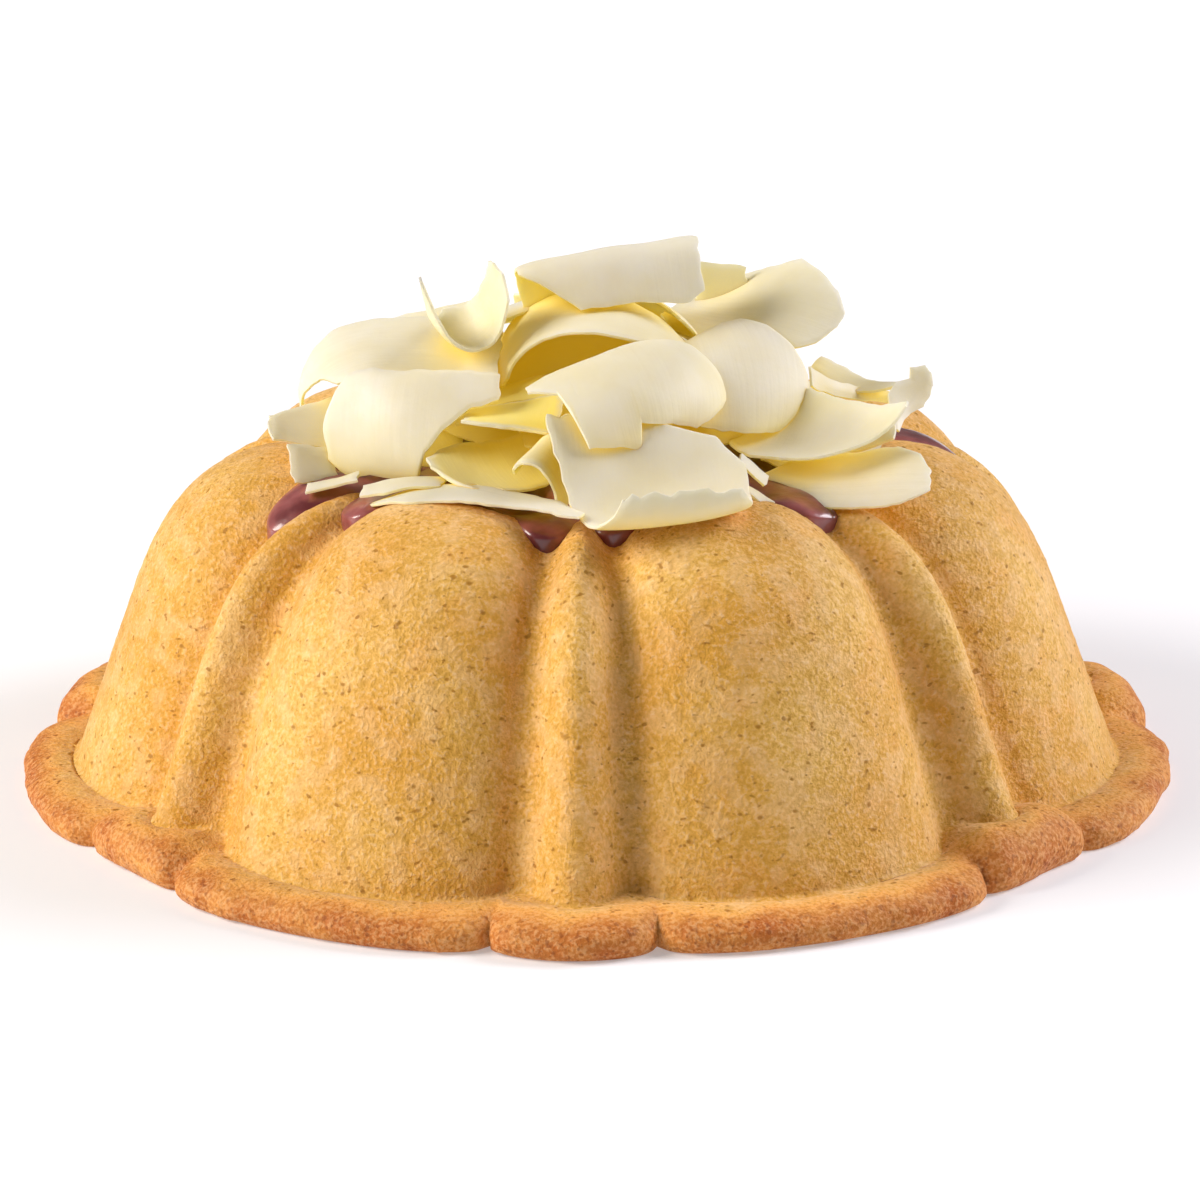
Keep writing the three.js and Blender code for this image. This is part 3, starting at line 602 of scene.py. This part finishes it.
# painted light: the same sheltered parts also glow faintly golden, though they are no lamp
wax = add(tree, "ShaderNodeBsdfPrincipled", {
    "Base Color": chocolate_colour, "Roughness": ramp(tree, bloom, 0, 1, 0.42, 0.6),
    "Specular IOR Level": 0.4, "Subsurface Weight": 0.6, "Subsurface Scale": 3 * MM,
    "Emission Color": tone("#FFD820"), "Emission Strength": reckon(tree, painted_gold_share, 0.07, "MULTIPLY"),
    "Normal": dust_bump.outputs[0]})
wax.inputs["Subsurface Radius"].default_value = (1.0, 0.97, 0.65)
add(tree, "ShaderNodeOutputMaterial", {"Surface": wax.outputs[0]})


def bent_line(heading):
    """Place along a line whose heading, in radians, changes with the millimetres run."""
    mm = np.linspace(-REACH, REACH, 20 * REACH + 1)
    angle = heading(mm)
    step = mm[1] - mm[0]
    x = np.cumsum(np.cos(angle)) * step
    y = np.cumsum(np.sin(angle)) * step
    x, y = x - np.interp(0, mm, x), y - np.interp(0, mm, y)
    return lambda at: (np.interp(at, mm, x), np.interp(at, mm, y))


def rough(draw, spacing, height):
    """A ragged line: a height for each millimetre, broken every spacing."""
    knots = np.arange(-REACH, REACH + spacing, spacing)
    heights = draw.uniform(-height, height, len(knots))
    return lambda at: np.interp(at, knots, heights)


def curled_sheet(shape, fine, grow=0.0):
    """Points, faces, stroke map and distance from the rim of one shaving, in millimetres."""
    cut = np.array(shape["cut"], float)
    draw = np.random.default_rng(sum(shape["name"].encode()))
    count = max(3, math.ceil((cut[-1, 0] - cut[0, 0]) / fine))
    along = np.unique(np.round([*np.linspace(cut[0, 0], cut[-1, 0], count), *cut[:, 0]], 3))
    along = np.unique(np.round([*along, cut[0, 0] + RIM, cut[-1, 0] - RIM], 3))
    near, far = (np.interp(along, cut[:, 0], cut[:, k]) for k in (1, 2))
    near = near + rough(draw, 1.9, 0.3)(along) + rough(draw, 7, 0.35)(along)
    far = far + rough(draw, 1.9, 0.3)(along) + rough(draw, 7, 0.35)(along)
    width = max(3, math.ceil(np.max(far - near) / fine))
    share = np.linspace(0, 1, width)
    inset = RIM / max(3, np.max(far - near))
    share = np.unique(np.round([*share, inset, 1 - inset], 4))
    s = np.repeat(along[:, None], len(share), 1)
    t = (near - grow)[:, None] + (far - near + 2 * grow)[:, None] * share
    start, stop = cut[0, 0], cut[-1, 0]
    for end, sign in ((start, -1), (stop, 1)):
        close = np.clip(1 - np.abs(s - end) / 3, 0, 1)
        bite = rough(draw, 1.5, 0.35)(t) + rough(draw, 4.5, 0.3)(t)
        s = s + close * (bite * shape["torn"] + sign * grow)
    to_rim = np.minimum(np.minimum(s - s.min(0), s.max(0) - s),
                        np.minimum(t - t.min(1)[:, None], t.max(1)[:, None] - t))
    half = THICKNESS / 2 * (THIN_EDGE + (1 - THIN_EDGE) * smooth(0, 1.2, to_rim)) + grow
    phase = draw.uniform(0, 6.28, 4)
    wave = RIPPLE * (np.sin(s / 2.6 + phase[0]) * np.sin(t / 4.1 + phase[1])
                     + np.sin(s / 5.3 + phase[2] + t / 7)
                     + 0.6 * np.sin(t / 3.3 + phase[3]))
    bend, curl, cup, twist = (shape[k] for k in ("bend", "curl", "cup", "twist"))
    wall = shape["wall"]

    def lengthways(mm):
        return np.radians(bend * mm / 10 + curl * (mm / 10) ** 2)

    def sideways(mm):
        return np.radians(wall * np.tanh(cup * mm / 10 / wall))

    spine, section = bent_line(lengthways), bent_line(sideways)
    spine_x, spine_z = spine(s)
    section_y, section_z = section(t)
    layers = []
    for side in (1, -1):                                # the upper face, then the lower
        lift = wave + side * half
        y = section_y - lift * np.sin(sideways(t))
        z = section_z + lift * np.cos(sideways(t))
        spun = np.radians(twist * s / 10)
        y, z = y * np.cos(spun) - z * np.sin(spun), y * np.sin(spun) + z * np.cos(spun)
        x = spine_x - z * np.sin(lengthways(s))
        z = spine_z + z * np.cos(lengthways(s))
        layers.append(np.stack([x, y, z], -1).reshape(-1, 3))
    yaw, rise, spin = (math.radians(angle) for angle in shape["turn"])
    turn = (Matrix.Rotation(yaw, 3, "Z") @ Matrix.Rotation(-rise, 3, "Y")
            @ Matrix.Rotation(spin, 3, "X"))
    points = np.concatenate(layers) @ np.array(turn).T + np.array(shape["at"])
    rows, columns = s.shape
    top = np.arange(rows * columns).reshape(rows, columns)
    under = top + rows * columns

    def quads(a, b, c, d):
        return np.stack([a.ravel(), b.ravel(), c.ravel(), d.ravel()], -1)

    faces = np.concatenate([
        quads(top[:-1, :-1], top[1:, :-1], top[1:, 1:], top[:-1, 1:]),
        quads(under[:-1, :-1], under[:-1, 1:], under[1:, 1:], under[1:, :-1]),
        quads(top[:-1, 0], under[:-1, 0], under[1:, 0], top[1:, 0]),
        quads(top[:-1, -1], top[1:, -1], under[1:, -1], under[:-1, -1]),
        quads(top[0, :-1], top[0, 1:], under[0, 1:], under[0, :-1]),
        quads(top[-1, :-1], under[-1, :-1], under[-1, 1:], top[-1, 1:])])
    stroke = np.stack([s, t], -1) if abs(bend) > abs(cup) else np.stack([t, s], -1)
    stroke = np.tile(stroke.reshape(-1, 2), (2, 1)) + draw.uniform(0, 500, 2)
    return points, faces.tolist(), stroke, np.tile(to_rim.ravel(), 2)


def biggest_part(mesh):
    """Keeps the largest of the loose parts that a cut has left."""
    form = bmesh.new()
    form.from_mesh(mesh)
    left = set(form.verts)
    parts = []
    while left:
        part, edge = set(), [left.pop()]
        while edge:
            vertex = edge.pop()
            part.add(vertex)
            for link in vertex.link_edges:
                other = link.other_vert(vertex)
                if other in left:
                    left.discard(other)
                    edge.append(other)
        parts.append(part)
    keep = max(parts, key=len)
    bmesh.ops.delete(form, geom=[v for v in form.verts if v not in keep], context="VERTS")
    form.to_mesh(mesh)
    form.free()
    return mesh


def paint_map(mesh, name, pairs):
    """Keeps two values for each point as a UV map, which lasts through the trimming."""
    corners = np.zeros(len(mesh.loops), np.int32)
    mesh.loops.foreach_get("vertex_index", corners)
    mesh.uv_layers.new(name=name).data.foreach_set("uv", pairs[corners].ravel())


laid = []


def keep_clear_of(name, points, faces):
    """A hidden form that every later shaving is trimmed against."""
    form = show("clear_of_" + name, closed_mesh("clear_of_" + name, points, faces, ivory))
    laid.append((form, np.min(points, 0), np.max(points, 0)))


def lay(name, at, turn, cut, bend=0, curl=0, cup=0, twist=0, wall=180, torn=1.0, nested_painted_gold=0.0):
    """Makes a shaving and lays it on the heap, trimmed clear of what lies there already.

    Its last argument tells how deep it sits among the others, 0 to 1, and so how much painted golden
    light, in colour and faint glow, it gets away from its rim.
    """
    shape = {"name": name, "at": at, "turn": turn, "cut": cut, "bend": bend, "curl": curl,
             "cup": cup, "twist": twist, "wall": wall, "torn": torn}
    points, faces, stroke, from_rim = curled_sheet(shape, FINE)
    mesh = closed_mesh(name, points, faces, ivory)
    paint_map(mesh, "stroke", stroke)
    # painted light: this piece's share of the painted gold, full inside and fading out towards its rim
    paint_map(mesh, "nested_painted_gold", np.stack([nested_painted_gold * smooth(0.2, 1.6, from_rim), from_rim], -1))
    piece = show(name, mesh)
    low, high = points.min(0), points.max(0)
    beside = bpy.data.collections.new("beside " + name)
    for form, form_low, form_high in laid:
        if (form_low < high).all() and (form_high > low).all():
            beside.objects.link(form)
    if beside.objects:
        trim = piece.modifiers.new("trim", "BOOLEAN")
        trim.operation = "DIFFERENCE"
        trim.operand_type = "COLLECTION"
        trim.collection = beside
        trim.solver = "MANIFOLD"
        made = piece.evaluated_get(bpy.context.evaluated_depsgraph_get())
        mesh = bpy.data.meshes.new_from_object(made)
        piece.modifiers.clear()
        piece.data = biggest_part(mesh)
        piece.data.name = name
    bpy.data.collections.remove(beside)
    piece.data.shade_smooth()
    piece.data.set_sharp_from_angle(angle=math.radians(CREASED_FROM))
    grown, grown_faces, *_ = curled_sheet(shape, 1.6, grow=CLEARANCE)
    keep_clear_of(name, grown, grown_faces)
    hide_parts("shaving_" + name)
    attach(piece, "root")


points, faces = cake_form(bearings(14, 14), 24, 6, grow=0.05)
keep_clear_of("cake", points, faces)
points, faces = cream_form(140, 10, grow=0.05)
keep_clear_of("cream", points, faces)


# ---- the top of the heap ----------------------------------------------------------------------
# The large pieces that crown it: a rolled sheet highest of all, a paddle and a chip behind it, a
# bulging sheet on the right, an arch in the middle, and the sheet with a hanging tab before it.

lay("top_sheet", at=(2.7, -6, 112.3), turn=(10, 7, -6),
    bend=-3, cup=-150, twist=4, wall=72,
    cut=((-19, -3, 15), (-17, -5, 16), (-8.5, -13.5, 16), (16, -14.5, 15), (19, -12.5, 12)))
lay("back_chip", at=(27.5, 14, 98.5), turn=(0, -2, 74),
    cut=((-6, -8, 6.5), (5, -8, 6)))
lay("back_paddle", at=(39, 4, 100), turn=(-30, 6, 31),
    bend=-12, curl=-6, twist=12,
    cut=((-23, -12, 6), (-17, -17, 14), (-6, -18, 11), (1, -15.5, 11.5),
         (8, -13, 6), (12, -10, 3), (15, -5, -1.5)))
lay("right_dome", at=(30.5, -20, 90.5), turn=(17, -9, 39),
    bend=-17, curl=2, cup=-22, twist=10,
    cut=((-15, -13, 9), (-6.5, -14.5, 13.5), (-1, -14.5, 17), (4.5, -13.5, 18),
         (9, -12.5, 14.5), (13, -8, 8.5), (16, -2, 2)))
lay("centre_arch", at=(0, -16, 101), turn=(-4, -3, 12),
    bend=-24, curl=3, twist=-4, nested_painted_gold=0.1,
    cut=((-28, -6, 4), (-22, -9, 9), (-10, -8, 11), (4, -9, 11), (17, -9, 9), (23, -7, 5)))
lay("centre_flag", at=(9.3, -44, 94), turn=(24, 1, 40),
    bend=-15, curl=-3, cup=-35, twist=7, nested_painted_gold=0.1,
    cut=((-22, 6, 9), (-17, 2, 13.5), (-15, -12, 13), (-3.5, -14.5, 12),
         (-2.5, -9, 12), (13, -10, 14), (20, -5, 13), (25, -1, 5)))


# ---- the front of the heap --------------------------------------------------------------------
# A wide scoop that stands on the cream with its ragged lip turned up, and a tight roll beside it.

lay("front_scoop", at=(10.8, -65, 71.3), turn=(95, 13, -3),
    bend=45, curl=-14.5, cup=7, twist=2, torn=2.2,
    cut=((-16, -18, 6), (-12, -19, 8), (-8, -19.5, 10.5), (3, -20, 15),
         (11, -20.5, 16.5), (19, -15, 18), (24, -3, 18.5), (25, 9, 18.5)))
lay("small_roll", at=(-10.5, -48, 81.3), turn=(-115, -14, 0),
    cup=-170, wall=82, nested_painted_gold=0.2,
    cut=((-7, -4, 9), (-3, -5, 12), (5, -6, 13), (6.5, -4, 11)))


# ---- the left of the heap ---------------------------------------------------------------------
# A cupped sheet in front, a long bow that springs clear of the cake behind it, a narrow curl that
# stands up like horns, and the strips and slivers that hang over the edge.

lay("left_sheet", at=(-39, -34, 84), turn=(-20, 4, 66),
    bend=-10, curl=-1, cup=-29, twist=-5,
    cut=((-18, -7.5, -0.5), (-16, -10.5, 6), (-14, -11.5, 10.5), (3.5, -12.5, 11.5),
         (5.5, -6.5, 11.5), (9, -2, 12), (14, 2.5, 12.5), (20, 5.5, 13)))
lay("back_left_bow", at=(-39, -14, 95), turn=(-2, 0, 24),
    bend=-12, curl=6, twist=-3,
    cut=((-37, 0, 4), (-28, -2, 4.5), (-19, -4, 6.5), (-14, -9, 8), (4, -12, 9), (20, -12, 9)))
lay("back_left_chip", at=(-35, 6, 93.5), turn=(-12, 13, 48),
    bend=-4, twist=1,
    cut=((-12, -4, 2), (-8, -7, 4), (3, -7, 4.5), (14, -7, 5)))
lay("horn_curl", at=(-25.5, -15, 97), turn=(111, 22, -15),
    bend=26, cup=108, twist=-6, wall=80,
    cut=((-8, -13, 22), (-2, -17, 15), (4, -18, 7), (8, -17, 3)))
lay("left_wing", at=(-58, -18, 79), turn=(6, -4, 32),
    bend=10, twist=7, torn=1.8,
    cut=((-9.5, 0, 1.5), (-8, -5, 2), (-5.5, -5, 3.5), (-1, -6, 5.5), (4, -7, 7.5), (7, 3, 5.5)))
lay("left_fold", at=(-57.5, -28, 73.5), turn=(17, -2, 48),
    bend=3, twist=-3,
    cut=((-4.5, -4, 4.5), (4.5, -4, 3.5)))
lay("left_sliver", at=(-53, -36, 71.5), turn=(-9, 14, 9),
    twist=-3,
    cut=((-5.5, -2, 2), (5.5, -2, 2)))
lay("lower_left_strip", at=(-38.5, -44, 73), turn=(-13, 6, 7),
    bend=-5, twist=-5,
    cut=((-8.5, -4, 1), (-3, -4.5, 3), (8, -2, 5)))
lay("long_strip", at=(-23.5, -54, 73.5), turn=(-29, 1, 3),
    bend=-5, curl=2, twist=2,
    cut=((-26, -1, 1.5), (-20, -5.5, 5), (-12, -7.5, 5.5), (3, -5, 4.5),
         (12, -3, 4), (18, -2.5, 2.5), (24.5, -3, -1)))


# ---- between the front pieces -----------------------------------------------------------------
# Sheets that show only in the gaps, under the arch and the tab and beside the roll.

lay("wedge_upper", at=(-17, -34, 84.5), turn=(-7, 0, 6),
    twist=9, nested_painted_gold=0.65,
    cut=((-9, -7, 0), (-5, -7.5, 7), (10, -7, 9.5)))
lay("wedge_lower", at=(-22.5, -42, 74), turn=(24, -4, 12),
    bend=6, cup=19, twist=5, nested_painted_gold=0.4,
    cut=((-9.5, 4, 8), (-6, -9, 10), (-1.5, -12, 11), (7.5, -9, 11), (13, -5, 11), (17, 0, 10.5)))
lay("under_arch", at=(-1, -13, 91), turn=(-8, 1, 34),
    bend=-8, twist=2, nested_painted_gold=0.4,
    cut=((-23, -11, 6), (-18, -13, 9), (16, -12, 9), (22, -8, 6)))
lay("under_flag", at=(-10, -27, 85.5), turn=(-13, 0, 22),
    bend=-9, twist=7, nested_painted_gold=0.55,
    cut=((-17, -8, 6), (-4, -10, 10), (15, -8, 8)))


# ---- the right of the heap --------------------------------------------------------------------
# A leaf and a tongue that lie out over the crown, a hooked end and two thin curls behind them, and
# splinters where a sheet broke.

lay("right_leaf", at=(45.5, -28, 77.5), turn=(-23, 13, 21),
    bend=12, cup=25, twist=5,
    cut=((-21, -0.5, 1.5), (-12, -10, 14), (-4, -13.5, 14.5), (4.5, -13, 10),
         (13, -8, 5), (20, -3, 1.5), (22.5, -1, 0.5)))
lay("right_hook", at=(65, -8, 81), turn=(49, 38, 54),
    bend=25, twist=4,
    cut=((-8.5, -2, -0.5), (-5, -1.5, 2), (-2.5, -2, 4), (0.5, -4, 4),
         (3.5, -3.5, 2), (5.5, -3, 3.5), (7.5, -0.5, 1)))
lay("back_right_upper", at=(55, 2, 81.5), turn=(-21, -7, 8),
    bend=25, twist=-10,
    cut=((-10, -1.5, 3.5), (-4, -4, 4.5), (10, -4.5, 0)))
lay("back_right_lower", at=(52, -4, 81), turn=(36, -18, 64),
    bend=25, twist=1,
    cut=((-12.5, -1.5, 3), (12.5, -1, 1.5)))
lay("right_tongue", at=(50, -40, 71.5), turn=(-16, 7, 24),
    bend=1, curl=-2, twist=2,
    cut=((-17.5, 0, 3), (-10.5, -2.5, 9.5), (-6, -8, 9.5), (3, -8.5, 9.5),
         (10, -8, 10), (15, -6, 7), (18, -3, 2)))
lay("right_chip", at=(56, -22, 75), turn=(-20, 18, 14),
    bend=2, twist=9,
    cut=((-6, -4.5, 0), (6, -1, 4)))
lay("splinter_a", at=(31.5, -48, 76.5), turn=(5, -48, 25),
    bend=-2, twist=14,
    cut=((-3.5, -2, 1.5), (3.5, -1.5, 2)))
lay("splinter_b", at=(32, -52, 72.5), turn=(12, -35, 9),
    twist=8,
    cut=((-4.5, -2, 2), (1, -2.5, 2.5), (5, -0.5, 1.5)))


# ---- the far side and the inside of the heap ------------------------------------------------------
# Wide sheets that lean out from the middle, like petals, in tiers: they carry the pieces on top
# and fill the heap behind them.

TIERS = (("low", 7, 78, 284, 47, 77, 20), ("mid", 5, 92, 268, 30, 87, 32),
         ("high", 2, 140, 225, 14, 98, 30), ("bed", 3, -48, 52, 25, 81, 16))
SHEET_LENGTH, LENGTH_SPREAD = 40, 5
SHEET_WIDTH, WIDTH_SPREAD = 25, 4


def spread(count, step):
    """An even spread of values from -1 to 1, a different one for each step."""
    return 2 * ((count * step) % 1) - 1


for row, (tier, number, first, last, radius, height, lean) in enumerate(TIERS):
    for item in range(number):
        count = 10 * row + item + 1
        bearing = first + (last - first) * item / (number - 1) + 5 * spread(count, 0.618)
        half = (SHEET_LENGTH + LENGTH_SPREAD * spread(count, 0.5698)) / 2
        side = (SHEET_WIDTH + WIDTH_SPREAD * spread(count, 0.8192)) / 2
        uneven = spread(count, 0.3247)
        spot = polar(radius + 4 * spread(count, 0.7549), bearing,
                     height + 1.5 * spread(count, 0.4302))
        lay(f"{tier}_{item + 1}", at=tuple(spot),
            turn=(bearing + 20 * spread(count, 0.2451), 7 * spread(count, 0.9057),
                  lean + 8 * uneven),
            bend=-7 + 11 * spread(count, 0.1487), cup=-8 + 14 * spread(count, 0.6823),
            twist=6 * spread(count, 0.3819),
            cut=((-half, -side * (0.5 + 0.3 * uneven), side * 0.5),
                 (-half * 0.7, -side, side * 0.9), (half * 0.6, -side * 0.9, side),
                 (half, -side * 0.4, side * (0.5 - 0.3 * uneven))))

for form, *_ in laid:
    bpy.data.objects.remove(form)
